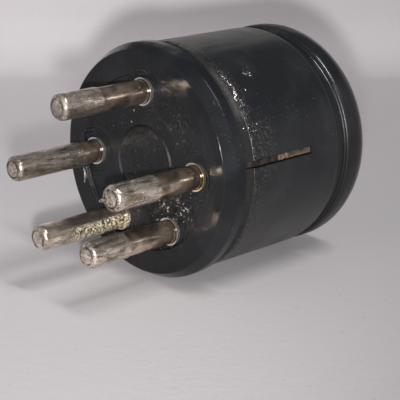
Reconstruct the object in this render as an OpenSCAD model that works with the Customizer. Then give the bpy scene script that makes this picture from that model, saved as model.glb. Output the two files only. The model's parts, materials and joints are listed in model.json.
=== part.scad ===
// Five-pin vacuum tube in a short moulded sleeve, lying on its side.
//
// Every sub-part is modelled upright: Z is the axis of the tube, z = 0 is the flat rim of the base
// that meets the socket, the pins hang below it and the bulb stands above it. lay() then turns the
// tube down on its side, so that the pins point to -Y and pin 3 is uppermost.

/* [Pins] */
// Diameter of the circle that the five pins stand on; the base, sleeve and bulb follow it
pin_circle_d = 19.05; // [17:0.05:24]
// Outside diameter of a contact pin
pin_d = 3.175; // [2.9:0.005:3.4]
// Length of a pin from the seating rim to the end of its solder
pin_len = 13.95; // [10:0.05:16]
// Thickness of the wall of a pin
pin_wall = 0.44; // [0.3:0.02:0.6]
// Width of the collar that stops a pin against the face
pin_collar_w = 0.2625; // [0.2:0.0125:0.5]

/* [Base] */
// Width of the recess between the pin collars and its edge
recess_margin = 0.325; // [0.25:0.025:2]
// Depth of the recess, and so the height of the pin collars
recess_depth = 0.45; // [0.3:0.05:0.8]
// Width of the flat seating rim round the recess
rim_w = 3.1; // [2.6:0.1:5]
// Width of the bevel between the rim and the flange
bevel_w = 0.95; // [0.5:0.05:1.5]
// Height of the bevel from the seating rim to the full flange
bevel_h = 1.7; // [1:0.1:2.6]
// Height of the flange from the seating rim to the front groove
flange_h = 3.4; // [3:0.1:6]
// Thickness of the base floor that holds the pins
floor_t = 2.55; // [2:0.05:3]
// Diameter of the ring mark in the middle of the face
ring_mark_d = 10.3; // [6:0.1:12]
// Height of the spigot that the sleeve fits over
base_spigot_h = 5.4; // [4.8:0.1:6]

/* [Sleeve] */
// Step in radius from the flange down to the sleeve
flange_step = 0.35; // [0.1:0.05:0.8]
// Length of the sleeve
sleeve_h = 17.8; // [16:0.1:25]
// Wall thickness of the sleeve
sleeve_wall = 1.7; // [1.4:0.1:2]
// Width of the slot along the sleeve
slot_w = 0.95; // [0.6:0.05:2]
// Length of the slot from the front edge of the sleeve
slot_len = 11.8; // [6:0.1:14]
// Angle of the slot from pin 4, round the axis
slot_angle = -6.5; // [-20:0.5:20]
// Drop from the sleeve down to the keys that fill the slot
key_drop = 0.2; // [0.1:0.05:0.5]
// Width of the groove between the flange and the sleeve
front_groove_w = 0.75; // [0.4:0.05:1.2]
// Width of the groove between the sleeve and the end ring
rear_groove_w = 1.65; // [0.8:0.05:2]
// Depth of both grooves below the sleeve
groove_depth = 0.65; // [0.4:0.05:0.8]
// Length of the bevel at the front of the sleeve
sleeve_bevel_h = 0.9; // [0.8:0.05:1.6]

/* [End ring] */
// Step in radius from the sleeve up to the end ring
end_step = 0.05; // [0:0.05:0.5]
// Height of the end ring behind its groove
end_h = 5.6; // [5.15:0.05:8]
// Radius of the rounded rear edge
end_round = 4; // [2:0.1:4.4]
// Width of the rear face from the outside of the ring to the window
end_face_w = 5.85; // [5.65:0.05:8]
// Length of the spigot that enters the sleeve
end_spigot_h = 4.5; // [3.5:0.1:5.5]

/* [Bulb] */
// Radial room between the glass bulb and the spigots round it
bulb_gap = 0.45; // [0.3:0.05:1]
// Thickness of the cement between the neck and the base
cement_t = 1.65; // [1:0.05:2.4]
// Thickness of the glass
glass_t = 0.9; // [0.6:0.05:1.1]
// Height of the domed end
dome_h = 6.3; // [5.6:0.1:7]
// Distance from the top of the dome to the rear face of the end ring
dome_gap = 1.2; // [0.8:0.1:2]

/* [Electrodes] */
// Radial room between the mica spacers and the glass
mica_gap = 2; // [1.2:0.1:2.5]
// Diameter of the plate
plate_d = 9.4; // [8.6:0.1:10.4]
// Diameter of the control grid
grid_d = 4.6; // [4:0.1:5.2]
// Number of turns of the control grid
grid_turns = 12; // [8:1:14]
// Diameter of the cathode sleeve
cathode_d = 1.8; // [1.6:0.05:2.1]
// Diameter of a lead wire
lead_d = 0.5; // [0.4:0.05:0.6]

/* [Hidden] */
$fn = 96;

black = "#232427";
brass = "#8d7860";
solder = "#b9b7b2";
glass = "#cfd8dc";
nickel = "#8f9092";
copper = "#9c6b4a";

over = 1;                          // how far a cut runs past what it cuts
fit_gap = 0.05;                    // radial clearance of the spigots in the sleeve
key_gap = 0.2;                     // between the lower side of the slot and the keys
key_fit = 0.03;                    // between the upper side of the slot and the keys
key_w = slot_w - key_gap - key_fit;

// Pins: 1 and 5 are the heater pins, and the odd gaps let the tube enter its socket one way only
pin_angles = [120, 180, 270, 0, 60];
pin_r = pin_d / 2;
pin_bore_r = pin_r - pin_wall;
pin_collar_r = pin_r + pin_collar_w;
pin_circle_r = pin_circle_d / 2;
shank_step = 0.2;                  // how much thinner a pin is where it goes through the base
shank_r = pin_r - shank_step;
rivet_w = 0.7;
rivet_r = shank_r + rivet_w;
rivet_h = 0.3;
solder_dome_h = 0.3;
solder_depth = 2.5;
pin_end_h = 0.55;                  // height of the turned-in end of a pin
lead_end_h = 1;                    // from the end of a pin to the end of its lead

// Radii from the pin circle outwards, then back in from the outside of the sleeve
recess_r = pin_circle_r + pin_collar_r + recess_margin;
rim_r = recess_r + rim_w;
flange_r = rim_r + bevel_w;
sleeve_r = flange_r - flange_step;
groove_r = sleeve_r - groove_depth;
sleeve_bore_r = sleeve_r - sleeve_wall;
spigot_r = sleeve_bore_r - fit_gap;
spigot_wall = 1.3;
spigot_bore_r = spigot_r - spigot_wall;
key_r = sleeve_r - key_drop;
end_r = sleeve_r + end_step;
window_r = end_r - end_face_w;
bulb_r = spigot_bore_r - bulb_gap;
bulb_bore_r = bulb_r - glass_t;
neck_r = spigot_bore_r - cement_t;
neck_bore_r = neck_r - glass_t;

// Heights along the axis, from the seating rim
floor_z = recess_depth + floor_t;
boss_h = 0.5;
boss_z = floor_z + boss_h;
rivet_z = boss_z + rivet_h;
sleeve_z = flange_h + front_groove_w;
sleeve_foot_h = 0.45;              // from the front of the sleeve to the foot of its bevel
base_top_z = sleeve_z + base_spigot_h;
sleeve_top_z = sleeve_z + sleeve_h;
liner_top_z = sleeve_top_z - end_spigot_h;
end_z = sleeve_top_z + rear_groove_w;
end_top_z = end_z + end_h;
dome_top_z = end_top_z - dome_gap;
dome_z = dome_top_z - dome_h;

// Glass stem: a flare sealed into the neck, a tube and a flat press that grips the leads
lead_space = 1.1;                  // room for the leads between the rivets and the neck
neck_z = rivet_z + lead_space;
cement_h = 3.6;
stem_r = 4.6;
stem_t = 0.8;
stem_h = 4.9;
stem_top_z = neck_z + stem_h;
press_w = 8.6;
press_t = 2.6;
press_h = 2.6;
press_z = stem_top_z + press_h;
exhaust_r = 1.2;
exhaust_y = 2.3;

// Electrodes, from the press up
lead_r = lead_d / 2;
lead_spacing = 1.6;
press_order = [-1, -2, 0, 2, 1];   // place in the press of the lead of each pin
foot_gap = 0.75;                   // from the press to the feet of the electrodes
foot_h = 0.35;                     // how far the electrodes reach below the lower mica
foot_z = press_z + foot_gap;
lead_top_z = foot_z - lead_r;
lower_mica_z = foot_z + foot_h;
mica_r = bulb_bore_r - mica_gap;
mica_t = 0.35;
mica_rise = 1.2;                   // from the foot of the dome to the upper mica
plate_z = lower_mica_z + mica_t;
upper_mica_z = dome_z + mica_rise;
plate_h = upper_mica_z - plate_z;
plate_r = plate_d / 2;
plate_t = 0.25;
plate_rod_r = 0.5;
plate_rod_gap = 0.4;               // between the plate and its rods
plate_rod_x = plate_r + plate_rod_gap + plate_rod_r;
grid_r = grid_d / 2;
grid_wire_r = 0.1;
grid_rod_r = 0.35;
cathode_r = cathode_d / 2;
cathode_t = 0.15;
heater_r = 0.16;
heater_x = 0.4;

// Points of an arc about [x, y], from angle a to angle b
function arc(x, y, rx, ry, a, b, steps = 10) =
    [for (i = [0:steps]) let (t = a + (b - a) * i / steps) [x + rx * cos(t), y + ry * sin(t)]];

function unit(v) = v / norm(v);

// Points that round the corner b of a profile with radius r, on the way from a to c
function corner(a, b, c, r, steps = 5) =
    let (u = unit(a - b), v = unit(c - b), half = acos(u * v) / 2,
         centre = b + unit(u + v) * r / sin(half),
         from = b + u * r / tan(half) - centre, to = b + v * r / tan(half) - centre,
         start = atan2(from.y, from.x), turn = atan2(to.y, to.x) - start,
         sweep = turn > 180 ? turn - 360 : turn < -180 ? turn + 360 : turn)
    [for (i = [0:steps]) let (t = start + sweep * i / steps) centre + r * [cos(t), sin(t)]];

// Profile with its corners rounded. Each corner is [radius, height, rounding], and 0 leaves it sharp.
function rounded(corners) =
    let (n = len(corners), at = [for (c = corners) [c[0], c[1]]])
    [for (i = [0:n - 1]) each corners[i][2] == 0 ? [at[i]] :
        corner(at[(i + n - 1) % n], at[i], at[(i + 1) % n], corners[i][2])];

// Turns the upright tube down on its side
module lay() {
    rotate([-90, 0, 0]) children();
}

// Puts a child on the axis of pin n
module at_pin(n) {
    rotate([0, 0, pin_angles[n - 1]]) translate([pin_circle_r, 0, 0]) children();
}

// Plain tube from outer radius r down to bore radius b
module tube(h, r, b) {
    difference() {
        cylinder(h = h, r = r);
        translate([0, 0, -over]) cylinder(h = h + 2 * over, r = b);
    }
}

// Round bar from point a to point b
module bar(a, b, r) {
    v = b - a;
    length = norm(v);
    translate(a) rotate([0, acos(v.z / length), atan2(v.y, v.x)]) cylinder(h = length, r = r, $fn = 24);
}

// Wire through a list of points. The runs stop short of each bend, and a bead joins them there.
module wire(points, r) {
    bead_r = 1.5 * r;
    setback = 1.05 * r;
    last = len(points) - 1;
    for (i = [1:last]) {
        run = points[i] - points[i - 1];
        back = setback * run / norm(run);
        bar(i > 1 ? points[i - 1] + back : points[0], i < last ? points[i] - back : points[last], r);
    }
    for (i = [1:last - 1]) translate(points[i]) sphere(r = bead_r, $fn = 24);
}

// ---- moulded pieces ----

// Rib in the slot of the sleeve, rooted at radius root and key_r high up to height b. Its front
// follows a list of corners that starts at the root's side.
module key(root, b, front) {
    low = -slot_w / 2 + key_fit;
    rotate([0, 0, slot_angle]) translate([0, low + key_w, 0]) rotate([90, 0, 0])
        linear_extrude(height = key_w) polygon(concat([[root, front[0][1]]], front, [[key_r, b], [root, b]]));
}

module base() {
    draft = 0.2;
    chamfer = 0.3;
    lead_in = 0.4;
    edge_r = 0.15;
    rim_edge_r = 0.3;
    bevel_edge_r = 1;
    profile = rounded([
        [0, recess_depth, 0], [recess_r - draft, recess_depth, edge_r], [recess_r, 0, edge_r],
        [rim_r, 0, rim_edge_r], [flange_r, bevel_h, bevel_edge_r],
        [flange_r, flange_h - chamfer, edge_r], [flange_r - chamfer, flange_h, edge_r],
        [groove_r, flange_h, edge_r], [groove_r, sleeve_z, 0], [spigot_r, sleeve_z, 0],
        [spigot_r, base_top_z - lead_in, 0], [spigot_r - lead_in, base_top_z, 0],
        [spigot_bore_r, base_top_z, 0], [spigot_bore_r, floor_z, 0], [0, floor_z, 0]
    ]);
    ring_r = ring_mark_d / 2;
    ring_w = 0.4;
    ring_depth = 0.2;
    boss_margin = 0.6;
    boss_r = rivet_r + boss_margin;
    color(black) difference() {
        union() {
            rotate_extrude() polygon(profile);
            for (n = [1:5]) at_pin(n) translate([0, 0, floor_z]) cylinder(h = boss_h, r = boss_r);
            key(spigot_r - lead_in, base_top_z, [
                [groove_r, sleeve_z], [groove_r, sleeve_z + sleeve_foot_h],
                [key_r, sleeve_z + sleeve_foot_h + sleeve_bevel_h * (key_r - groove_r) / groove_depth]
            ]);
        }
        for (n = [1:5]) at_pin(n) translate([0, 0, -over]) cylinder(h = boss_z + 2 * over, r = shank_r);
        translate([0, 0, recess_depth]) rotate_extrude() polygon([
            [ring_r - ring_w, -over], [ring_r, -over], [ring_r, 0],
            [ring_r - ring_w / 2, ring_depth], [ring_r - ring_w, 0]
        ]);
    }
}

module sleeve() {
    foot_edge_r = 0.15;            // rounding of the front edge
    foot_cove_r = 0.4;             // hollow between the foot and the bevel
    bevel_edge_r = 1;
    slot_ease = 0.12;              // how far the edges of the slot are eased
    rear_h = 1;
    foot_z = sleeve_z + sleeve_foot_h;
    front = rounded([
        [sleeve_bore_r, sleeve_z, 0], [groove_r, sleeve_z, foot_edge_r], [groove_r, foot_z, foot_cove_r],
        [sleeve_r, foot_z + sleeve_bevel_h, bevel_edge_r], [sleeve_r, sleeve_top_z - rear_h, 0]
    ]);
    rear = arc(groove_r, sleeve_top_z - rear_h, sleeve_r - groove_r, rear_h, 0, 90);
    half_w = slot_w / 2;
    flare = slot_ease + over;
    color(black) difference() {
        rotate_extrude() polygon(concat(front, rear, [[sleeve_bore_r, sleeve_top_z]]));
        rotate([0, 0, slot_angle]) translate([0, 0, sleeve_z - over])
            linear_extrude(height = slot_len + over) polygon([
                [sleeve_bore_r - over, -half_w], [sleeve_r - slot_ease, -half_w],
                [sleeve_r + over, -half_w - flare], [sleeve_r + over, half_w + flare],
                [sleeve_r - slot_ease, half_w], [sleeve_bore_r - over, half_w]
            ]);
    }
}

module end_ring() {
    shoulder_h = min(1, 0.8 * (end_h - end_round));
    cove_r = 0.25;
    lip_round = 1.2;
    lip_t = 2.4;
    cone_h = 3;
    lead_in = 0.4;
    spigot_z = sleeve_top_z - end_spigot_h;
    cove = [for (p = arc(0, 0, -cove_r, cove_r, 0, 90, 5)) p + [groove_r + cove_r, end_z - cove_r]];
    shoulder_r = groove_r + cove_r;
    shoulder = arc(shoulder_r, end_z + shoulder_h, end_r - shoulder_r, shoulder_h, -90, 0);
    rounding = arc(end_r - end_round, end_top_z - end_round, end_round, end_round, 0, 90, 16);
    lip = arc(window_r + lip_round, end_top_z - lip_round, lip_round, lip_round, 90, 180);
    inside = [
        [window_r, end_top_z - lip_t], [spigot_bore_r, end_top_z - lip_t - cone_h],
        [spigot_bore_r, spigot_z], [spigot_r - lead_in, spigot_z],
        [spigot_r, spigot_z + lead_in], [spigot_r, sleeve_top_z], [groove_r, sleeve_top_z]
    ];
    color(black) rotate_extrude() polygon(concat(cove, shoulder, rounding, lip, inside));
}

module fibre_liner() {
    liner_t = 0.6;
    liner_h = liner_top_z - base_top_z;
    key_end_gap = 0.05;
    joint_w = 0.15;                // between the key of the base and the key of the liner
    key_top_z = sleeve_z + slot_len - key_end_gap;
    color("#6b4a33") {
        translate([0, 0, base_top_z]) tube(liner_h, spigot_r, spigot_r - liner_t);
        key(spigot_r - liner_t / 2, key_top_z, [[key_r, base_top_z + joint_w]]);
    }
}

module basing_cement() {
    color("#8a7f70") translate([0, 0, neck_z]) tube(cement_h, spigot_bore_r, neck_r);
}

// ---- pins ----

// Brass tube with a collar below the face and a thinner shank that is riveted over inside
module pin(n) {
    shank_bore_r = shank_r - pin_wall;
    wall_end = -(pin_len - solder_dome_h - pin_end_h);
    wall = concat(
        [[pin_bore_r, 0], [shank_bore_r, recess_depth], [shank_bore_r, rivet_z], [rivet_r, rivet_z],
         [rivet_r, boss_z], [shank_r, boss_z], [shank_r, recess_depth],
         [pin_collar_r, recess_depth], [pin_collar_r, 0], [pin_r, 0]],
        arc(pin_bore_r, wall_end, pin_wall, pin_end_h, 0, -90, 6));
    color(brass) at_pin(n) rotate_extrude() polygon(wall);
}

module pin_solder(n) {
    pin_end = -(pin_len - solder_dome_h);
    plug = concat([[lead_r, pin_end + solder_depth], [pin_bore_r, pin_end + solder_depth]],
                  arc(0, pin_end, pin_bore_r, solder_dome_h, 0, -90, 8),
                  [[0, pin_end + lead_end_h], [lead_r, pin_end + lead_end_h]]);
    color(solder) at_pin(n) rotate_extrude() polygon(plug);
}

// ---- glass ----

module bulb() {
    neck_above = 0.4;              // neck that shows above the cement
    shoulder_z = neck_z + cement_h + neck_above;
    shoulder_h = 2;
    outer = concat([[neck_r, neck_z], [neck_r, shoulder_z], [bulb_r, shoulder_z + shoulder_h]],
                   arc(0, dome_z, bulb_r, dome_h, 0, 90, 16));
    inner = concat(arc(0, dome_z, bulb_bore_r, dome_h - glass_t, 90, 0, 16),
                   [[bulb_bore_r, shoulder_z + shoulder_h], [neck_bore_r, shoulder_z],
                    [neck_bore_r, neck_z]]);
    color(glass, 0.4) rotate_extrude() polygon(concat(outer, inner));
}

module stem() {
    flare_t = 0.7;
    flare_h = 2.2;
    throat_w = 1;
    throat_h = 1;
    throat_r = stem_r + throat_w;
    throat_z = neck_z + flare_h;
    bore_r = stem_r - stem_t;
    profile = [
        [neck_bore_r - flare_t, neck_z], [neck_bore_r, neck_z], [neck_bore_r, neck_z + flare_t],
        [throat_r, throat_z], [stem_r, throat_z + throat_h], [stem_r, stem_top_z], [0, stem_top_z],
        [0, stem_top_z - stem_t], [bore_r, stem_top_z - stem_t],
        [bore_r, throat_z + throat_h / 2], [throat_r - stem_t, throat_z - stem_t]
    ];
    side = (press_w - press_t) / 2;
    sunk = 0.1;
    color(glass, 0.5) difference() {
        union() {
            rotate_extrude() polygon(profile);
            translate([-side, -press_t / 2, stem_top_z - sunk])
                cube([press_w - press_t, press_t, press_h + sunk]);
            for (x = [-side, side])
                translate([x, 0, stem_top_z - sunk]) cylinder(h = press_h + sunk, r = press_t / 2);
        }
        for (place = press_order)
            translate([place * lead_spacing, 0, throat_z]) cylinder(h = press_z, r = lead_r, $fn = 24);
    }
}

module exhaust_tube() {
    top = stem_top_z - stem_t;
    tip_below = 0.5;               // how far the sealed tip reaches below the flare
    low = neck_z - tip_below;
    tip_h = 1.2;
    tip_r = 0.3;
    tip_t = 0.8;
    bore_r = 0.7;
    color(glass, 0.5) translate([0, exhaust_y, 0]) rotate_extrude() polygon([
        [0, low], [tip_r, low], [exhaust_r, low + tip_h], [exhaust_r, top], [bore_r, top],
        [bore_r, low + tip_h], [0, low + tip_t]
    ]);
}

// ---- leads ----

// Lead of pin n: up the pin, across under the flare, up through the press and on to its electrode
module lead(n, ends) {
    a = pin_angles[n - 1];
    x = press_order[n - 1] * lead_spacing;
    pin_axis = [pin_circle_r * cos(a), pin_circle_r * sin(a), 0];
    low_z = solder_dome_h + lead_end_h - pin_len;
    entry_h = 0.8;
    weld_h = 0.4;
    across_z = rivet_z + lead_d;
    stem_entry_z = across_z + entry_h;
    weld_z = press_z + weld_h;
    below = [pin_axis + [0, 0, low_z], pin_axis + [0, 0, across_z],
             [x, 0, stem_entry_z], [x, 0, weld_z]];
    color(copper) wire(concat(below, ends), lead_r);
}

module heater_lead_1() {
    lead(1, [[-heater_x, 0, lead_top_z]]);
}

module plate_lead_2() {
    lead(2, [[-plate_rod_x, 0, lead_top_z]]);
}

module grid_lead_3() {
    lead(3, [[0, -grid_r, lead_top_z]]);
}

// Passes beside the heater lead and meets the cathode at its side
module cathode_lead_4() {
    reach = cathode_r + lead_r;
    detour = 1.35;
    side_angle = 55;
    lead(4, [[reach + detour, detour, lead_top_z], [reach * cos(side_angle), reach * sin(side_angle), foot_z]]);
}

module heater_lead_5() {
    lead(5, [[heater_x, 0, lead_top_z]]);
}

// ---- electrodes ----

// Spacer disc with two flats and the holes that line the electrodes up
module mica(z) {
    flat_w = 1.6 * mica_r;
    color("#d8d2bf", 0.7) translate([0, 0, z]) difference() {
        intersection() {
            cylinder(h = mica_t, r = mica_r);
            translate([-mica_r, -flat_w / 2, 0]) cube([2 * mica_r, flat_w, mica_t]);
        }
        mica_hole(0, 0, cathode_r);
        for (side = [-1, 1]) {
            mica_hole(side * plate_rod_x, 0, plate_rod_r);
            mica_hole(0, side * grid_r, grid_rod_r);
        }
    }
}

module mica_hole(x, y, r) {
    translate([x, y, -over]) cylinder(h = mica_t + 2 * over, r = r);
}

module lower_mica() {
    mica(lower_mica_z);
}

module upper_mica() {
    mica(upper_mica_z);
}

// Anode: a drum with two beads and the fins that join it to its rods
module plate() {
    bead = 0.25;
    fin_t = 0.5;
    fin_w = plate_rod_x - plate_r + plate_t;
    color("#4a4a4c") translate([0, 0, plate_z]) difference() {
        union() {
            cylinder(h = plate_h, r = plate_r);
            for (part = [0.25, 0.75])
                translate([0, 0, plate_h * part]) cylinder(h = 2 * bead, r = plate_r + bead, center = true);
            for (side = [-1, 1]) translate([side * (plate_rod_x - fin_w / 2), 0, plate_h / 2])
                cube([fin_w, fin_t, plate_h], center = true);
        }
        translate([0, 0, -over]) cylinder(h = plate_h + 2 * over, r = plate_r - plate_t);
        for (side = [-1, 1]) translate([side * plate_rod_x, 0, -over])
            cylinder(h = plate_h + 2 * over, r = plate_rod_r);
    }
}

module plate_rod(side) {
    above = 2.2;
    rod_h = upper_mica_z + above - foot_z;
    color(nickel) translate([side * plate_rod_x, 0, foot_z]) cylinder(h = rod_h, r = plate_rod_r);
}

// Turns of fine wire on two side rods
module control_grid() {
    above = 1;
    inset = 0.6;
    rod_h = upper_mica_z + above - foot_z;
    pitch = (plate_h - 2 * inset) / (grid_turns - 1);
    color(nickel) {
        for (side = [-1, 1]) translate([0, side * grid_r, foot_z])
            cylinder(h = rod_h, r = grid_rod_r);
        for (i = [0:grid_turns - 1]) translate([0, 0, plate_z + inset + i * pitch])
            rotate_extrude() translate([grid_r, 0]) circle(r = grid_wire_r, $fn = 16);
    }
}

module cathode() {
    above = 0.9;
    cathode_h = upper_mica_z + above - foot_z;
    color("#dcdad2") translate([0, 0, foot_z]) tube(cathode_h, cathode_r, cathode_r - cathode_t);
}

// Hairpin inside the cathode
module heater() {
    above = 0.3;
    high = upper_mica_z + above;
    color("#e8e4da") wire([[-heater_x, 0, foot_z], [-heater_x, 0, high],
                           [heater_x, 0, high], [heater_x, 0, foot_z]], heater_r);
}

// Getter cup on its wire, welded to the right-hand plate rod
module getter() {
    cup_r = 1.7;
    cup_t = 0.3;
    cup_h = 0.7;
    cup_rise = 1.6;
    arm = 1;
    arm_r = 0.2;
    cup_x = plate_rod_x - plate_rod_r - arm - cup_r;
    cup_z = upper_mica_z + cup_rise;
    wire_z = cup_z + cup_h / 2;
    color("#77787a") {
        translate([cup_x, 0, cup_z]) difference() {
            cylinder(h = cup_h, r = cup_r);
            translate([0, 0, cup_t]) cylinder(h = cup_h, r = cup_r - cup_t);
        }
        bar([cup_x + cup_r - cup_t / 2, 0, wire_z], [plate_rod_x - plate_rod_r, 0, wire_z], arm_r);
    }
}

lay() base();
lay() pin(1);  // pin_1
lay() pin(2);  // pin_2
lay() pin(3);  // pin_3
lay() pin(4);  // pin_4
lay() pin(5);  // pin_5
lay() pin_solder(1);  // pin_solder_1
lay() pin_solder(2);  // pin_solder_2
lay() pin_solder(3);  // pin_solder_3
lay() pin_solder(4);  // pin_solder_4
lay() pin_solder(5);  // pin_solder_5
lay() sleeve();
lay() end_ring();
lay() fibre_liner();
lay() basing_cement();
lay() bulb();
lay() stem();
lay() exhaust_tube();
lay() heater_lead_1();
lay() plate_lead_2();
lay() grid_lead_3();
lay() cathode_lead_4();
lay() heater_lead_5();
lay() lower_mica();
lay() upper_mica();
lay() plate();
lay() plate_rod(-1);  // plate_rod_left
lay() plate_rod(1);  // plate_rod_right
lay() control_grid();
lay() cathode();
lay() heater();
lay() getter();
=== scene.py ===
"""Looks of a short five-pin vacuum tube in a black moulded sleeve, lying on its side.

Laid out as a Blender add-on and run as a script: each piece, or group of like pieces, has its own
operator, and the sizes and colours that a user would change are properties of the scene.
"""

import json
from math import cos, dist, exp, hypot, pi, radians, sin

import bmesh
import bpy
from bpy.props import FloatProperty, FloatVectorProperty, IntProperty, PointerProperty
from mathutils import Matrix, Vector


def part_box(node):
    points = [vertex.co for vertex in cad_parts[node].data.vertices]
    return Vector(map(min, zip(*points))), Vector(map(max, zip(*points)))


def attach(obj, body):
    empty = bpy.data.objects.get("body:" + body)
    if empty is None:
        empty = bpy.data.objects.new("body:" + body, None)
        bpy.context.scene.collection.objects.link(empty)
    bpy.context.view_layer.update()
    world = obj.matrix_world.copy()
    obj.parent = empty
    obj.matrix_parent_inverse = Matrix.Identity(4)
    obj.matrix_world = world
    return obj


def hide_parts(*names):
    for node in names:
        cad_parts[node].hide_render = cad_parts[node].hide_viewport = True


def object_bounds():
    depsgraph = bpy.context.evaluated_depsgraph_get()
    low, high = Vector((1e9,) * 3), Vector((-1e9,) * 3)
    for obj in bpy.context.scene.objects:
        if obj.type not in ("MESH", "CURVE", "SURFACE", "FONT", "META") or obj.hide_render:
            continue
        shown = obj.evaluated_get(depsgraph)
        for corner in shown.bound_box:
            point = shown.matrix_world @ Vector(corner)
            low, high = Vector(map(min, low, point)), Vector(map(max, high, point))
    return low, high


bl_info = {
    "name": "Five-pin tube in a moulded sleeve",
    "version": (1, 0, 0),
    "blender": (4, 5, 0),
    "location": "View3D > Sidebar > Tube",
    "description": "Builds the visible pieces, the finishes and the stage of a short five-pin tube",
    "category": "Object",
}

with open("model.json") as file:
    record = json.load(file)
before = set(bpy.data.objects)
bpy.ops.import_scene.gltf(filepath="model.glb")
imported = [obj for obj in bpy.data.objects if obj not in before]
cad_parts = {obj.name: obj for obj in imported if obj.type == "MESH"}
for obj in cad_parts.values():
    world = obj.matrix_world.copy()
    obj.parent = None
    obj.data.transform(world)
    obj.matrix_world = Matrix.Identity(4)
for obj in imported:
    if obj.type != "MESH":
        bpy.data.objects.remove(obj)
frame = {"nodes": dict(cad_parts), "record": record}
CAD_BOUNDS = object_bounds()

MM = 0.001
BODY = "root"
PINS = (1, 2, 3, 4, 5)
MIDDLE = 7 * MM                    # inside this radius the face has no pins
RECESS = 11.7 * MM                 # radius of the recess in the front of the base
SPILL = (3.9 * MM, -4.7 * MM)      # x and z of the middle of the dried spill on the face
CAMERA_AIM = Vector((-0.6784, 0.6769, -0.2858))
LEVEL_AIM = Vector((CAMERA_AIM.x, CAMERA_AIM.y, 0)).normalized()

# Dirt and wear on the mouldings, with painted shade and a painted reflection
# Matt film whose darker colour paints shade outside the highlight window
MATT_FILM_AND_SHADE = (0.006, 0.0055, 0.005, 1)
GROOVE_DIRT = (0.03, 0.027, 0.024, 1)
GREY_DUST = (0.15, 0.14, 0.13, 1)
# Settled dust, with a painted reflection of the pale wall on top of the sleeve
DUST_AND_SHEEN = (0.105, 0.110, 0.094, 1)
BROWN_DUST = (0.060, 0.047, 0.036, 1)
BARE_KEY = (0.009, 0.008, 0.008, 1)
STAINED_KEY = (0.034, 0.025, 0.022, 1)
# Painted highlight on the left wall of the recess in the base
PAINTED_GLINT = (0.55, 0.54, 0.52, 1)
DARK_LUMP = (0.02, 0.018, 0.017, 1)
BRIGHT_FLAKE = (0.80, 0.77, 0.72, 1)

# Vulcanised fibre
DARK_FIBRE = (0.020, 0.013, 0.010, 1)
BROWN_FIBRE = (0.10, 0.066, 0.044, 1)
GOLD_FLECK = (0.42, 0.30, 0.15, 1)

# Tarnish, stains, wear and painted shade on the pins
DRAWN_LINE = (0.05, 0.035, 0.028, 1)
# Painted shade in the crease where a pin meets its collar
COLLAR_CREASE_SHADE = (0.03, 0.022, 0.018, 1)
PALE_SPOT = (0.74, 0.65, 0.45, 1)
SOLDER_STAIN = (0.34, 0.26, 0.15, 1)
SOLDER_PIT = (0.05, 0.04, 0.035, 1)
# Painted shade in the crease round the solder plug at a pin's end
PLUG_CREASE_SHADE = (0.03, 0.025, 0.022, 1)
# Painted shade on the underside of a solder coat
UNDERSIDE_SHADE = (0.16, 0.14, 0.11, 1)
DARK_GROUND = (0.06, 0.048, 0.04, 1)
GOLD_RIM = (0.86, 0.72, 0.50)
SILVER_RIM = (0.85, 0.82, 0.78)

# Glass and the getter flash
PALE_GLASS = (0.93, 0.96, 0.94, 1)
CLEAR_GLASS = (0.99, 1.0, 0.99, 1)
DOME_GLASS = (0.97, 0.99, 0.98, 1)
FLASH_SILVER = (0.55, 0.56, 0.59, 1)
FLASH_BROWN = (0.06, 0.04, 0.028, 1)

# Paper on the floor and the light of the room
PAPER_MARK = (0.30, 0.27, 0.25, 1)
DIM_ROOM = (0.085, 0.09, 0.1, 1)
BRIGHT_ROOM = (0.37, 0.37, 0.38, 1)


def reach(node):
    """Outer radius of a round CAD node about the tube's axis, which is the frame's Y axis"""
    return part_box(node)[1].x


def span(node):
    """Front and rear end of a CAD node along the tube's axis"""
    low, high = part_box(node)
    return low.y, high.y


def pin_axis(n):
    """Where the axis of pin n crosses the plane of the seating rim, as x and z"""
    low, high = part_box(f"pin_{n}")
    return (low.x + high.x) / 2, (low.z + high.z) / 2


def pin_radius(n):
    """Radius of the contact of pin n, as its mount gives it"""
    contact = next(m for m in frame["record"]["mounts"] if m["name"] == f"pin_{n}_contact")
    return contact["dims"]["r_mm"] * MM


def bore_radius(n):
    """Radius of the bore of pin n, which its solder fills"""
    low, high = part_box(f"pin_solder_{n}")
    return (high.x - low.x) / 2


def collar_radius(n):
    """Radius of the collar of pin n, the widest part of the pin in front of the recess"""
    x, z = pin_axis(n)
    verts = frame["nodes"][f"pin_{n}"].data.vertices
    return max(hypot(v.co.x - x, v.co.z - z) for v in verts if v.co.y < 0.2 * MM)


def base_corners():
    """Radius and station of each corner of the base"""
    return [(hypot(v.co.x, v.co.z), v.co.y) for v in frame["nodes"]["base"].data.vertices]


def face_level():
    """Station of the recessed front face of the base"""
    return min(station for radius, station in base_corners() if radius < MIDDLE)


def ring_mark():
    """Inner and outer radius of the ring mark, the only edges on the middle of the face"""
    near = [radius for radius, station in base_corners() if radius < MIDDLE]
    return min(near), max(near)


# ---- settings ----


class TubeMouldingSettings(bpy.types.PropertyGroup):
    """Sizes and finish of the three black moulded pieces"""

    colour: FloatVectorProperty(
        name="Colour", description="Colour of the black moulding compound",
        subtype="COLOR", size=3, min=0, max=1, default=(0.0095, 0.0100, 0.0112))
    gloss: FloatProperty(
        name="Roughness", description="Roughness of a clean moulded surface",
        subtype="FACTOR", min=0.02, max=0.6, default=0.13)


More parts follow.
